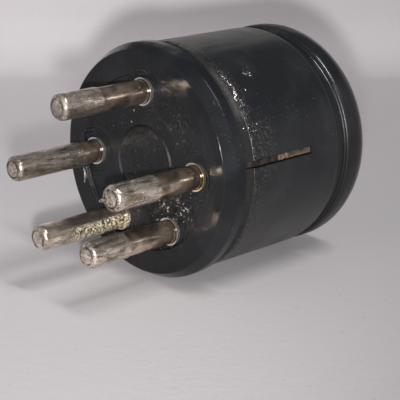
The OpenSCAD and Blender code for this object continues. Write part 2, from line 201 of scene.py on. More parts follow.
class TubePinSettings(bpy.types.PropertyGroup):
    """Sizes and finish of the contact pins"""

    coats: FloatVectorProperty(
        name="Solder coats", description="How far from the rim the solder coat of pins 1 to 5 starts",
        unit="LENGTH", size=5, min=2 * MM, max=12 * MM,
        default=(3.4 * MM, 2.9 * MM, 7.6 * MM, 6.9 * MM, 7.7 * MM))
    tints: FloatVectorProperty(
        name="Solder tints", description="How pale the solder coat of pins 1 to 5 is",
        size=5, min=0.2, max=2, default=(1.4, 0.88, 1.85, 1.03, 1.03))
    coat_thickness: FloatProperty(
        name="Coat thickness", description="Thickness of the solder coat",
        unit="LENGTH", min=0.02 * MM, max=0.2 * MM, default=0.09 * MM)
    lumps: FloatProperty(
        name="Lumps", description="Height of the lumps in the solder coat",
        unit="LENGTH", min=0, max=0.08 * MM, default=0.06 * MM)
    brass: FloatVectorProperty(
        name="Tarnished metal", description="Colour of the tarnished inner half of a pin",
        subtype="COLOR", size=3, min=0, max=1, default=(0.47, 0.365, 0.28))
    solder: FloatVectorProperty(
        name="Solder", description="Colour of the solder coat",
        subtype="COLOR", size=3, min=0, max=1, default=(0.625, 0.535, 0.455))


class TubeGritSettings(bpy.types.PropertyGroup):
    """Dirt that lies on the mouldings"""

    amount: IntProperty(
        name="Grains", description="Grains along the front edge of the sleeve",
        min=0, max=2000, default=420)
    residue: IntProperty(
        name="Residue", description="Lumps of dry residue on the face of the base",
        min=0, max=3000, default=900)
    size: FloatProperty(
        name="Size", description="Radius of the largest grain",
        unit="LENGTH", min=0.02 * MM, max=0.3 * MM, default=0.15 * MM)


class TubeStageSettings(bpy.types.PropertyGroup):
    """Floor, lamps and camera"""

    floor: FloatVectorProperty(
        name="Floor", description="Colour of the floor and of the wall that it sweeps up to",
        subtype="COLOR", size=3, min=0, max=1, default=(0.60, 0.568, 0.575))
    wall: FloatProperty(
        name="Wall", description="How far behind the tube the wall stands",
        unit="LENGTH", min=0.05, max=1, default=0.150)
    strip_power: FloatProperty(
        name="Strip lamp", description="Power of the strip lamp above the tube",
        unit="POWER", min=0, max=20, default=1.4)
    front_power: FloatProperty(
        name="Front lamp", description="Power of the small lamp just below the camera",
        unit="POWER", min=0, max=20, default=1.55)
    ambient: FloatProperty(
        name="Ambient", description="Strength of the light of the room",
        subtype="FACTOR", min=0, max=2, default=1.12)
    lens: FloatProperty(
        name="Lens", description="Focal length of the camera",
        subtype="DISTANCE_CAMERA", min=20, max=300, default=113.3)


# ---- node helpers ----


class Tree:
    """Short way to add nodes to a material, world or geometry tree

    The place of a material's tree is its Object coordinates.
    """

    def __init__(self, tree):
        self.tree = tree
        self.place = None

    def node(self, kind, inputs=None, **settings):
        made = self.tree.nodes.new(kind)
        for key, value in settings.items():
            setattr(made, key, value)
        for key, value in (inputs or {}).items():
            if isinstance(value, bpy.types.NodeSocket):
                self.tree.links.new(value, made.inputs[key])
            else:
                made.inputs[key].default_value = value
        return made

    def first(self, kind, inputs=None, **settings):
        """First output of a new node"""
        return self.node(kind, inputs, **settings).outputs[0]

    def math(self, operation, a, b=0.0, clamp=False):
        return self.first("ShaderNodeMath", {0: a, 1: b}, operation=operation, use_clamp=clamp)

    def times(self, a, b, *more):
        made = self.math("MULTIPLY", a, b)
        return self.times(made, *more) if more else made

    def plus(self, a, b, clamp=False):
        return self.math("ADD", a, b, clamp=clamp)

    def less(self, a, b):
        return self.math("SUBTRACT", a, b)

    def most(self, a, b, *more):
        made = self.math("MAXIMUM", a, b)
        return self.most(made, *more) if more else made

    def invert(self, value):
        """Takes 0 to 1 and 1 to 0"""
        return self.less(1.0, value)

    def ramp(self, value, low, high):
        """0 below low, 1 above high, smooth in between"""
        return self.first("ShaderNodeMapRange", {"Value": value, "From Min": low, "From Max": high},
                          interpolation_type="SMOOTHSTEP")

    def fall(self, value, low, high):
        """1 below low, 0 above high, smooth in between"""
        return self.invert(self.ramp(value, low, high))

    def band(self, value, low, high, soft):
        """1 between low and high, fading to 0 over soft at both ends"""
        return self.times(self.ramp(value, low - soft, low), self.fall(value, high, high + soft))

    def scale(self, value, low, high):
        """Takes a value in 0 to 1 to low to high"""
        return self.first("ShaderNodeMapRange", {"Value": value, "To Min": low, "To Max": high})

    def mix(self, factor, a, b):
        return self.node("ShaderNodeMix", {0: factor, 6: a, 7: b}, data_type="RGBA").outputs[2]

    def noise(self, size, detail=4.0, roughness=0.55, distortion=0.0, at=None):
        """Noise whose largest features are about size metres across"""
        return self.first("ShaderNodeTexNoise", {
            "Vector": at or self.place, "Scale": 1 / size, "Detail": detail, "Roughness": roughness,
            "Distortion": distortion})

    def patches(self, size, low, high, **noise):
        """Ragged patches: 0 where a noise is below low, 1 where it is above high"""
        return self.ramp(self.noise(size, **noise), low, high)

    def coat(self, under, cover, share, tone):
        """A colour with a share of another tone laid on it where cover is 1"""
        return self.mix(self.times(cover, share), under, tone)

    def vector(self, operation, a, b):
        return self.first("ShaderNodeVectorMath", {0: a, 1: b}, operation=operation)

    def dot(self, a, b):
        return self.node("ShaderNodeVectorMath", {0: a, 1: b}, operation="DOT_PRODUCT").outputs["Value"]

    def length(self, vector):
        return self.node("ShaderNodeVectorMath", {0: vector}, operation="LENGTH").outputs["Value"]

    def stretch(self, *scale, of=None):
        """Coordinates scaled along each axis, so that a pattern read on them is longer or shorter"""
        return self.first("ShaderNodeMapping", {"Vector": of or self.place, "Scale": scale})

    def feed(self, node, **values):
        """Links a value to each named input of a node"""
        for key, value in values.items():
            self.tree.links.new(value, node.inputs[key.replace("_", " ")])

    def bump(self, height, depth, normal=None):
        inputs = {"Height": height, "Distance": depth, "Strength": 1.0}
        if normal is not None:
            inputs["Normal"] = normal
        return self.first("ShaderNodeBump", inputs)


def rgba(colour, gain=1.0):
    return (*(min(1.0, c * gain) for c in colour), 1.0)


def new_material(name, **sockets):
    """A Principled material: returns it, its tree and its shader"""
    made = bpy.data.materials.new(name)
    made.use_nodes = True
    made.node_tree.nodes.clear()
    tree = Tree(made.node_tree)
    shader = tree.node("ShaderNodeBsdfPrincipled")
    for key, value in sockets.items():
        shader.inputs[key.replace("_", " ")].default_value = value
    tree.node("ShaderNodeOutputMaterial", {"Surface": shader.outputs[0]})
    tree.place = tree.node("ShaderNodeTexCoord").outputs["Object"]
    return made, tree, shader


# ---- finishes ----


def polar(tree, place=None):
    """Distance from the tube's axis, and the coordinates along each frame axis"""
    x, y, z = tree.node("ShaderNodeSeparateXYZ", {0: place or tree.place}).outputs
    flat = tree.first("ShaderNodeCombineXYZ", {0: x, 2: z})
    return tree.length(flat), x, y, z


def from_axis(tree, x, z):
    """Coordinates measured from a line parallel to the tube's axis"""
    return tree.vector("SUBTRACT", tree.place, (x, 0, z))


def about_pin(tree, n):
    """As polar, but measured from the axis of pin n"""
    return polar(tree, from_axis(tree, *pin_axis(n)))


def scratches(tree, size, width):
    """Hair lines: 1 on a thin contour of a wandering noise, 0 beside it"""
    field = tree.noise(size, detail=1.5, distortion=0.4)
    off = tree.math("ABSOLUTE", tree.less(field, 0.5))
    return tree.fall(off, 0.0, width)


def angle_band(tree, middle, half, soft):
    """1 within half degrees of a middle angle, measured from straight up towards +X, fading to 0"""
    radius, x, _, z = polar(tree)
    turn = radians(middle)
    along = tree.plus(tree.times(x, sin(turn)), tree.times(z, cos(turn)))
    cosine = tree.math("DIVIDE", along, tree.most(radius, 0.001 * MM))
    return tree.ramp(cosine, cos(radians(half + soft)), cos(radians(half)))


def moulding_material(name, gloss, shine=0.42, grooves=(), worn_edges=(), dull_and_shade=(), window=(40, 16, 16),
                      film_and_shade=0.72, dirty=(), dust_and_sheen=0.6):
    """Glossy black moulding with smears, dust, faint scratches, dirty grooves and rubbed edges

    Each groove is a pair of stations between which dirt dulls the moulding, each worn edge is a pair
    between which handling has polished it and left it chipped. Each dull_and_shade pair has a matt film
    outside the window, given as angle_band's middle, half and soft; its darker colour is painted shade.
    Each dirty patch is an angle, half its width in degrees, and two stations: dry brown dust lies there
    in specks. dust_and_sheen is how much dust and a painted reflection of the pale wall lighten the top.
    """
    look = bpy.context.scene.tube_moulding
    made, tree, shader = new_material(name, Specular_IOR_Level=shine)
    radius, _, y, _ = polar(tree)
    outermost = reach("sleeve")

    def bands(pairs):
        total = 0.0
        for low, high in pairs:
            total = tree.most(total, tree.band(y, low, high, 0.12 * MM))
        return total

    film = tree.patches(7 * MM, 0.42, 0.72, detail=3, distortion=0.6)
    grain = tree.noise(0.35 * MM, detail=6, roughness=0.7)
    dusty = tree.times(tree.ramp(grain, 0.60, 0.69), tree.patches(4 * MM, 0.40, 0.65, detail=2))
    hair = tree.times(scratches(tree, 6 * MM, 0.004), tree.patches(3 * MM, 0.5, 0.62, detail=2))
    dirt = tree.times(bands(grooves), tree.patches(0.8 * MM, 0.3, 0.5, detail=4))
    worn = bands(worn_edges)
    # Matt film: outside the angle window it dulls the moulding and, with its darker colour, paints shade.
    matt_and_shade = tree.times(bands(dull_and_shade), tree.invert(angle_band(tree, *window)))
    dust = 0.0
    for middle, half, low, high in dirty:
        dust = tree.most(
            dust, tree.times(angle_band(tree, middle, half, 14), tree.band(y, low, high, 1.6 * MM)))
    dust = tree.times(dust, tree.patches(0.4 * MM, 0.50, 0.62, detail=6, roughness=0.8, distortion=0.3))
    streaks = tree.patches(1.1 * MM, 0.34, 0.62, detail=4, at=tree.stretch(1, 0.22, 1))
    # Dust settled on top, and a painted reflection: the top is lighter, as if the pale wall shone in it.
    settled_and_sheen = tree.times(
        tree.ramp(radius, outermost - 1.2 * MM, outermost - 0.5 * MM), tree.ramp(y, 0.9 * MM, 1.7 * MM),
        angle_band(tree, -8, 12, 22), tree.scale(streaks, 0.25, 1.0))
    colour = tree.mix(film, rgba(look.colour), rgba(look.colour, 1.6))
    for cover, share, tone in ((settled_and_sheen, dust_and_sheen, DUST_AND_SHEEN), (dirt, 0.5, GROOVE_DIRT),
                               (dusty, 0.4, GREY_DUST), (dust, 0.5, BROWN_DUST),
                               (matt_and_shade, film_and_shade, MATT_FILM_AND_SHADE)):
        colour = tree.coat(colour, cover, share, tone)
    rough = tree.scale(film, gloss, gloss + 0.1)
    for cover, gain in ((dusty, 0.25), (hair, 0.2), (dirt, 0.35), (settled_and_sheen, 0.15), (worn, -gloss + 0.07),
                        (matt_and_shade, film_and_shade), (dust, 0.12)):
        rough = tree.plus(rough, tree.times(cover, gain), clamp=True)
    tree.feed(shader, Base_Color=colour, Roughness=rough)
    ripple = tree.bump(tree.noise(2.2 * MM, detail=2), 0.02 * MM)
    scored = tree.bump(tree.times(hair, -1.0), 0.006 * MM, ripple)
    lumps = tree.bump(tree.times(tree.most(dirt, worn, dust), grain), 0.06 * MM, scored)
    tree.feed(shader, Normal=tree.bump(grain, 0.008 * MM, lumps))
    return made, tree, shader, colour, rough


def pin_ripples(tree, first, last, pitch):
    """Low rings round the foot of each pin, between two distances from its collar, and where they lie"""
    total, cover = 0.0, 0.0
    for n in PINS:
        off = tree.less(about_pin(tree, n)[0], collar_radius(n))
        wave = tree.math("SINE", tree.times(off, 2 * pi / pitch))
        near = tree.band(off, first, last, 0.3 * MM)
        total = tree.plus(total, tree.times(wave, near))
        cover = tree.most(cover, near)
    return total, cover


def base_material():
    """The moulding of the base, with a duller, purple-brown key where the slot bares it"""
    start, _ = span("sleeve")
    made, tree, shader, colour, rough = moulding_material(
        "Base moulding", bpy.context.scene.tube_moulding.gloss, shine=0.21, dust_and_sheen=0.4,
        grooves=[(start - 1.05 * MM, start + 0.45 * MM)], dull_and_shade=[(start - 0.95 * MM, start + 0.45 * MM)])
    radius, x, y, z = polar(tree)
    key = tree.times(tree.math("GREATER_THAN", y, start + 0.1 * MM),
                     tree.math("GREATER_THAN", radius, reach("sleeve") - 1.6 * MM))
    bare = tree.mix(tree.patches(0.9 * MM, 0.35, 0.65, detail=4), BARE_KEY, STAINED_KEY)
    colour = tree.mix(key, colour, bare)
    # Painted highlight: pale strokes on the left wall of the recess, where a highlight runs along it.
    strokes = tree.patches(0.22 * MM, 0.53, 0.60, detail=3, at=tree.stretch(1, 1, 0.16))
    painted_glint = tree.times(
        tree.band(x, -RECESS - 0.2 * MM, -RECESS + 0.5 * MM, 0.15 * MM),
        tree.band(z, -4.6 * MM, -3.0 * MM, 0.5 * MM), strokes, tree.math("LESS_THAN", y, 1.0 * MM))
    tree.feed(shader, Base_Color=tree.mix(painted_glint, colour, PAINTED_GLINT))
    pool = tree.length(tree.stretch(1, 0, 1.8, of=from_axis(tree, *SPILL)))
    face = tree.math("LESS_THAN", radius, RECESS + 0.9 * MM)
    crust = tree.noise(0.45 * MM, detail=5, roughness=0.65)
    wet = tree.times(tree.fall(pool, 3.5 * MM, 7.0 * MM), face, tree.ramp(crust, 0.48, 0.56))
    mark = tree.band(radius, *ring_mark(), 0.05 * MM)
    dried = tree.times(face, tree.patches(1.3 * MM, 0.44, 0.58, detail=5, roughness=0.7))
    outer = tree.less(tree.ramp(radius, RECESS - 1.3 * MM, RECESS - 0.1 * MM),
                      tree.ramp(radius, RECESS + 1.6 * MM, RECESS + 2.2 * MM))
    cover = tree.most(mark, dried, tree.times(outer, 0.5))
    ripples, polished = pin_ripples(tree, 0, 1.3 * MM, 0.5 * MM)
    plain = tree.invert(tree.times(polished, 0.8))
    rough = tree.plus(rough, tree.times(cover, 0.3), clamp=True)
    tree.feed(shader, Roughness=tree.times(rough, plain))
    before = shader.inputs["Normal"].links[0].from_socket
    lumps = tree.bump(tree.times(crust, wet), 0.5 * MM, before)
    wrinkles = tree.times(tree.noise(0.8 * MM, detail=3, distortion=0.8), face)
    creased = tree.bump(wrinkles, 0.09 * MM, lumps)
    tree.feed(shader, Normal=tree.bump(tree.times(ripples, face), 0.04 * MM, creased))
    return made


def fibre_material():
    """Brown vulcanised fibre with golden flecks near the base"""
    made, tree, shader = new_material("Fibre")
    y = polar(tree)[2]
    start, _ = span("fibre_liner")
    weave = tree.noise(0.5 * MM, detail=5, at=tree.stretch(1, 0.3, 1))
    brown = tree.mix(tree.ramp(weave, 0.35, 0.65), DARK_FIBRE, BROWN_FIBRE)
    near = tree.fall(y, start + 1.2 * MM, start + 2.4 * MM)
    fleck = tree.times(tree.patches(0.3 * MM, 0.52, 0.6, detail=2), near)
    tree.feed(shader, Base_Color=tree.mix(fleck, brown, GOLD_FLECK), Metallic=tree.times(fleck, 0.7),
              Roughness=tree.scale(weave, 0.42, 0.65), Normal=tree.bump(weave, 0.02 * MM))
    return made


def tarnish_material(n, spots, clean, rim_colour):
    """Brown tarnish on the drawn brass of pin n

    Spots above 0 adds pale yellow spots, and clean is how bright the rubbed rim of the collar is.
    """
    look = bpy.context.scene.tube_pins
    made, tree, shader = new_material(f"Tarnished pin {n}", Metallic=0.92)
    radius, _, y, z = about_pin(tree, n)
    lines = tree.noise(0.25 * MM, detail=4, at=tree.stretch(1, 0.12, 1))
    cloud = tree.noise(2.4 * MM, detail=4, distortion=0.5)
    colour = tree.mix(tree.ramp(cloud, 0.35, 0.65), rgba(look.brass, 0.55), rgba(look.brass, 1.45))
    colour = tree.coat(colour, tree.ramp(lines, 0.5, 0.72), 0.55, DRAWN_LINE)
    collar = collar_radius(n)
    rim = tree.ramp(radius, collar - 0.20 * MM, collar - 0.13 * MM)
    colour = tree.coat(colour, rim, clean, rgba(rim_colour))
    outside = pin_radius(n)
    # Painted shade: the pin is darkened in the crease at the foot of its collar.
    crease_shade = tree.times(
        tree.fall(radius, outside + 0.03 * MM, outside + 0.09 * MM), tree.ramp(y, -0.30 * MM, -0.12 * MM))
    colour = tree.coat(colour, crease_shade, 0.9, COLLAR_CREASE_SHADE)
    rough = tree.scale(cloud, 0.09, 0.26)
    height = tree.plus(lines, tree.times(cloud, 0.4))
    if spots:
        spot = tree.times(tree.patches(0.3 * MM, 0.49, 0.53, detail=6, roughness=0.75),
                          tree.ramp(z, 1.0 * MM, 0.4 * MM))
        colour = tree.mix(spot, colour, PALE_SPOT)
        tree.feed(shader, Metallic=tree.less(0.92, tree.times(spot, 0.6)))
        rough = tree.plus(rough, tree.times(spot, 0.1), clamp=True)
        height = tree.plus(height, tree.times(spot, spots))
    tree.feed(shader, Base_Color=colour, Roughness=rough, Normal=tree.bump(height, 0.02 * MM))
    return made


def solder_material(n, spots, underside_shade):
    """Solder coat of pin n: scratches along the pin, pits, rubbed places and painted shade in the crease
    at the end

    Spots above 0 adds pale yellow spots, and grime is how dark the painted shade on the underside is.
    """
    look = bpy.context.scene.tube_pins
    made, tree, shader = new_material(f"Pin solder {n}", Metallic=0.9)
    radius, _, y, z = about_pin(tree, n)
    tint = look.tints[n - 1]
    cloud = tree.noise(0.7 * MM, detail=7, roughness=0.7, at=tree.stretch(1, 0.22, 1))
    colour = tree.mix(tree.ramp(cloud, 0.34, 0.64), rgba(look.solder, 0.36 * tint),
                      rgba(look.solder, min(1.4 * tint, 1.6)))
    marks = tree.patches(0.26 * MM, 0.56, 0.66, detail=3, at=tree.stretch(1, 0.1, 1))
    pits = tree.patches(0.3 * MM, 0.56, 0.64, detail=5, roughness=0.75)
    stain = tree.patches(1.8 * MM, 0.5, 0.68, detail=3)
    colour = tree.coat(colour, stain, 0.6, SOLDER_STAIN)
    dark = tree.most(tree.times(marks, 0.65), tree.times(pits, 0.8))
    colour = tree.mix(dark, colour, SOLDER_PIT)
    bore = bore_radius(n)
    # Painted shade: the crease round the solder plug is darkened, in ragged patches.
    crease_shade = tree.times(
        tree.ramp(radius, bore - 0.22 * MM, bore - 0.1 * MM), tree.fall(radius, bore, bore + 0.12 * MM),
        tree.patches(0.9 * MM, 0.36, 0.52, detail=3))
    colour = tree.coat(colour, crease_shade, 0.85, PLUG_CREASE_SHADE)
    # Painted shade: the underside of the coat is darker, as if in the shadow of the pin.
    if underside_shade:
        colour = tree.coat(colour, tree.fall(z, -0.9 * MM, 0.9 * MM), underside_shade, UNDERSIDE_SHADE)
    rough = tree.scale(cloud, 0.34, 0.14)
    height = tree.less(tree.times(cloud, 0.9), dark)
    if spots:
        colour = tree.coat(colour, tree.ramp(y, -12 * MM, -8.5 * MM), 0.7, DARK_GROUND)
        spot = tree.times(tree.patches(0.3 * MM, 0.48, 0.52, detail=6, roughness=0.75),
                          tree.ramp(z, 1.0 * MM, 0.4 * MM), tree.ramp(y, -11.5 * MM, -7.5 * MM))
        colour = tree.mix(spot, colour, PALE_SPOT)
        tree.feed(shader, Metallic=tree.less(0.9, tree.times(spot, 0.6)))
        height = tree.plus(height, tree.times(spot, spots))
    tree.feed(shader, Base_Color=colour, Roughness=rough, Normal=tree.bump(height, 0.045 * MM))
    return made


def flake_material(name, share):
    """Dark lumps, of which some are bright flakes; a higher share leaves fewer of them bright"""
    made, tree, shader = new_material(name)
    bright = tree.patches(0.5 * MM, share, share + 0.05, detail=2)
    tree.feed(
        shader, Base_Color=tree.mix(bright, DARK_LUMP, BRIGHT_FLAKE), Metallic=tree.times(bright, 0.8),
        Roughness=tree.scale(bright, 0.1, 0.22), Normal=tree.bump(tree.noise(0.06 * MM), 0.01 * MM))
    return made


def plain_material(name, colour, roughness, metallic=0.0):
    """Even finish with a mottled colour and a fine grain, for the small inner pieces"""
    size, spread, depth = 0.6 * MM, 0.35, 0.01 * MM
    made, tree, shader = new_material(name, Metallic=metallic)
    mottle = tree.noise(size, detail=5)
    tree.feed(shader, Base_Color=tree.mix(mottle, rgba(colour, 1 - spread), rgba(colour, 1 + spread)),
              Roughness=tree.scale(mottle, roughness * 0.8, min(1.0, roughness * 1.25)),
              Normal=tree.bump(tree.noise(size / 4), depth))
    return made


def glass_material(node, flash=False):
    """Blown glass with faint waves and, where asked, the silvery getter flash inside its dome"""
    made, tree, shader = new_material(f"Glass {node}", IOR=1.5, Transmission_Weight=1.0)
    radius, _, y, _ = polar(tree)
    waves = tree.noise(3 * MM, detail=2)
    tree.feed(shader, Roughness=tree.scale(waves, 0.01, 0.06), Normal=tree.bump(waves, 0.03 * MM))
    if not flash:
        tree.feed(shader, Base_Color=tree.mix(waves, PALE_GLASS, CLEAR_GLASS))
        return made
    _, rear = span(node)
    edge = tree.plus(radius, tree.times(tree.less(tree.noise(2.2 * MM, detail=4), 0.5), 3.4 * MM))
    silver = tree.times(
        tree.fall(edge, 4.2 * MM, 6.4 * MM), tree.ramp(y, rear - 4.2 * MM, rear - 3.2 * MM))
    metal = tree.mix(tree.ramp(edge, 3.0 * MM, 5.6 * MM), FLASH_SILVER, FLASH_BROWN)
    tree.feed(shader, Base_Color=tree.mix(silver, DOME_GLASS, metal), Metallic=silver)
    return made


# ---- meshes ----


def paint_node(node, material):
    """Gives a CAD node that stays in view its finish"""
    slots = frame["nodes"][node].data.materials
    slots.clear()
    slots.append(material)


def new_group(name, **inputs):
    """A Geometry Nodes tree that takes and gives a geometry: returns it, its helper and its inputs"""
    group = bpy.data.node_groups.new(name, "GeometryNodeTree")
    for key, kind in (("Geometry", "Geometry"), *inputs.items(), ("Material", "Material")):
        group.interface.new_socket(key.replace("_", " "), in_out="INPUT", socket_type="NodeSocket" + kind)
    group.interface.new_socket("Geometry", in_out="OUTPUT", socket_type="NodeSocketGeometry")
    tree = Tree(group)
    return group, tree, tree.node("NodeGroupInput").outputs


def close_tree(tree, solid, material):
    """Ends a Geometry Nodes tree with real, smooth faces in one material"""
    solid = tree.first("GeometryNodeRealizeInstances", {"Geometry": solid})
    solid = tree.first("GeometryNodeSetShadeSmooth", {"Geometry": solid})
    solid = tree.first("GeometryNodeSetMaterial", {"Geometry": solid, "Material": material})
    tree.node("NodeGroupOutput", {"Geometry": solid})


def lathe_tree():
    """Geometry Nodes tree that turns a profile about an axis parallel to Y

    The profile's points carry two weights: lump, how far noise may move a point in or out, and wave,
    how far noise round the axis may move it along the axis. Both are lengths.
    """
    group, tree, given = new_group("Lathe", Segments="Int", Axis="Vector", Lump_Size="Float", Seed="Float")
    count = tree.node("GeometryNodeAttributeDomainSize", {"Geometry": given["Geometry"]})
    around = tree.plus(given["Segments"], 1.0)
    grid = tree.first("GeometryNodeMeshGrid", {
        "Vertices X": count.outputs["Point Count"], "Vertices Y": around})
    index = tree.first("GeometryNodeInputIndex")
    row = tree.math("FLOOR", tree.math("DIVIDE", tree.plus(index, 0.5), around))
    column = tree.less(index, tree.times(row, around))

    def on_profile(value, kind):
        return tree.first("GeometryNodeSampleIndex", {
            "Geometry": given["Geometry"], "Value": value, "Index": row}, data_type=kind)

    def weight(name):
        named = tree.node("GeometryNodeInputNamedAttribute", {"Name": name}, data_type="FLOAT")
        return on_profile(named.outputs["Attribute"], "FLOAT")

    place = on_profile(tree.first("GeometryNodeInputPosition"), "FLOAT_VECTOR")
    radius, station, _ = tree.node("ShaderNodeSeparateXYZ", {0: place}).outputs
    angle = tree.times(tree.math("DIVIDE", column, given["Segments"]), 2 * pi)
    across, up = tree.math("SINE", angle), tree.math("COSINE", angle)

    def turned(r, y):
        return tree.first("ShaderNodeCombineXYZ", {0: tree.times(r, across), 1: y, 2: tree.times(r, up)})

    def noise(vector):
        made = tree.node("ShaderNodeTexNoise", {
            "Vector": vector, "W": given["Seed"], "Detail": 3.0,
            "Scale": tree.math("DIVIDE", 1.0, given["Lump Size"])}, noise_dimensions="4D")
        return tree.less(made.outputs["Fac"], 0.5)

    lump = tree.times(noise(turned(radius, station)), tree.times(weight("lump"), 2.0))
    wave = tree.times(noise(turned(radius, 0.0)), tree.times(weight("wave"), 2.0))
    shaped = turned(tree.plus(radius, lump), tree.plus(station, wave))
    moved = tree.vector("ADD", shaped, given["Axis"])
    solid = tree.first("GeometryNodeSetPosition", {"Geometry": grid, "Position": moved})
    solid = tree.first("GeometryNodeMergeByDistance", {"Geometry": solid, "Distance": 1e-7})
    close_tree(tree, solid, given["Material"])
    return group


def grit_tree():
    """Geometry Nodes tree that strews small lumps on a patch, thickest where its weight "thick" is 1"""
    group, tree, given = new_group(
        "Grit", Density="Float", Smallest="Float", Largest="Float", Flatness="Float", Seed="Int")
    thick = tree.node("GeometryNodeInputNamedAttribute", {"Name": "thick"}, data_type="FLOAT")
    density = tree.times(given["Density"], thick.outputs["Attribute"])
    strewn = tree.node("GeometryNodeDistributePointsOnFaces", {
        "Mesh": given["Geometry"], "Seed": given["Seed"], "Density": density}, distribute_method="RANDOM")
    grain = tree.first("GeometryNodeMeshIcoSphere", {"Radius": 1.0, "Subdivisions": 2})
    at = tree.first("GeometryNodeInputPosition")
    dent = tree.first("ShaderNodeTexNoise", {"Vector": at, "Scale": 1.3, "Detail": 1.0})
    swell = tree.plus(0.55, tree.times(dent, 0.9))
    rough = tree.first("ShaderNodeVectorMath", {0: at, "Scale": swell}, operation="SCALE")
    grain = tree.first("GeometryNodeSetPosition", {"Geometry": grain, "Position": rough})

    def random(low, high, shift):
        seed = tree.plus(given["Seed"], shift)
        return tree.node(
            "FunctionNodeRandomValue", {2: low, 3: high, 8: seed}, data_type="FLOAT").outputs[1]

    bias = tree.math("POWER", random(0.0, 1.0, 1.0), 2.0)
    spread = tree.less(given["Largest"], given["Smallest"])
    size = tree.plus(given["Smallest"], tree.times(spread, bias))
    scale = tree.first("ShaderNodeCombineXYZ", {
        0: tree.times(size, random(0.7, 1.3, 2.0)), 1: tree.times(size, random(0.7, 1.3, 3.0)),
        2: tree.times(size, given["Flatness"])})
    spin = tree.first("ShaderNodeCombineXYZ", {2: random(0.0, 2 * pi, 4.0)})
    turn = tree.first("FunctionNodeRotateRotation", {
        "Rotation": strewn.outputs["Rotation"], "Rotate By": spin}, rotation_space="LOCAL")
    placed = tree.first("GeometryNodeInstanceOnPoints", {
        "Points": strewn.outputs["Points"], "Instance": grain, "Scale": scale, "Rotation": turn})
    close_tree(tree, placed, given["Material"])
    return group


def grown(name, mesh, group, values):
    """Runs a Geometry Nodes tree on a mesh and keeps the result as a plain mesh object"""
    scene = bpy.context.scene
    seed = bpy.data.objects.new(name + ".seed", mesh)
    scene.collection.objects.link(seed)
    modifier = seed.modifiers.new("Grow", "NODES")
    modifier.node_group = group
    named = {s.name: s.identifier for s in group.interface.items_tree if s.in_out == "INPUT"}
    for key, value in values.items():
        modifier[named[key]] = value
    bpy.context.view_layer.update()
    graph = bpy.context.evaluated_depsgraph_get()
    made = bpy.data.meshes.new_from_object(
        seed.evaluated_get(graph), preserve_all_data_layers=True, depsgraph=graph)
    bpy.data.objects.remove(seed)
    made.name = name
    return made


def face_out(mesh, sharp=radians(38)):
    """Points the faces of a closed shell outwards and keeps only its real corners sharp"""
    shell = bmesh.new()
    shell.from_mesh(mesh)
    bmesh.ops.remove_doubles(shell, verts=shell.verts, dist=1e-7)
    bmesh.ops.dissolve_degenerate(shell, dist=1e-8, edges=shell.edges)
    bmesh.ops.recalc_face_normals(shell, faces=shell.faces)
    shell.to_mesh(mesh)
    shell.free()
    mesh.set_sharp_from_angle(angle=sharp)


def weighted(mesh, **weights):
    """Gives each point of a mesh a named number"""
    for name, values in weights.items():
        made = mesh.attributes.new(name, "FLOAT", "POINT")
        made.data.foreach_set("value", values)


def turned_mesh(name, points, material, segments, axis, lump_size, seed):
    """Mesh turned from profile points (radius, station, lump, wave) about the line x, z = axis"""
    profile = bpy.data.meshes.new(name + ".profile")
    edges = [(i, i + 1) for i in range(len(points) - 1)]
    profile.from_pydata([(p[0], p[1], 0.0) for p in points], edges, [])
    weighted(profile, lump=[p[2] for p in points], wave=[p[3] for p in points])
    group = bpy.data.node_groups.get("Lathe") or lathe_tree()
    made = grown(name, profile, group, {
        "Segments": segments, "Axis": (axis[0], 0.0, axis[1]), "Lump Size": lump_size, "Seed": seed,
        "Material": material})
    face_out(made)
    return made


def strewn_mesh(name, verts, faces, thick, count, flatness, seed, material):
    """Mesh of about count small lumps strewn on a patch by its weights"""
    patch = bpy.data.meshes.new(name + ".patch")
    patch.from_pydata(verts, [], faces)
    weighted(patch, thick=thick)
    total = sum(f.area * sum(thick[v] for v in f.vertices) / len(f.vertices) for f in patch.polygons)
    group = bpy.data.node_groups.get("Grit") or grit_tree()
    largest = bpy.context.scene.tube_grit.size
    return grown(name, patch, group, {
        "Density": count / total, "Smallest": 0.18 * largest, "Largest": largest, "Flatness": flatness,
        "Seed": seed, "Material": material})


def net_faces(rows, columns, flip=False):
    """Faces of a net of rows by columns, whose corners are listed row by row"""
    corners = [i * (columns + 1) + j for i in range(rows) for j in range(columns)]
    if flip:
        return [(a, a + 1, a + columns + 2, a + columns + 1) for a in corners]
    return [(a, a + columns + 1, a + columns + 2, a + 1) for a in corners]


def bell(x, width, power=2):
    """1 in the middle, falling to 0 on both sides"""
    return exp(-abs(x / width) ** power)


def add_piece(mesh, replaces=()):
    """Puts a finished mesh in the scene, under the mesh's name, and ties it to the frame"""
    made = bpy.data.objects.new(mesh.name, mesh)
    bpy.context.scene.collection.objects.link(made)
    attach(made, BODY)
    if replaces:
        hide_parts(*replaces)
    return made


# ---- operators ----


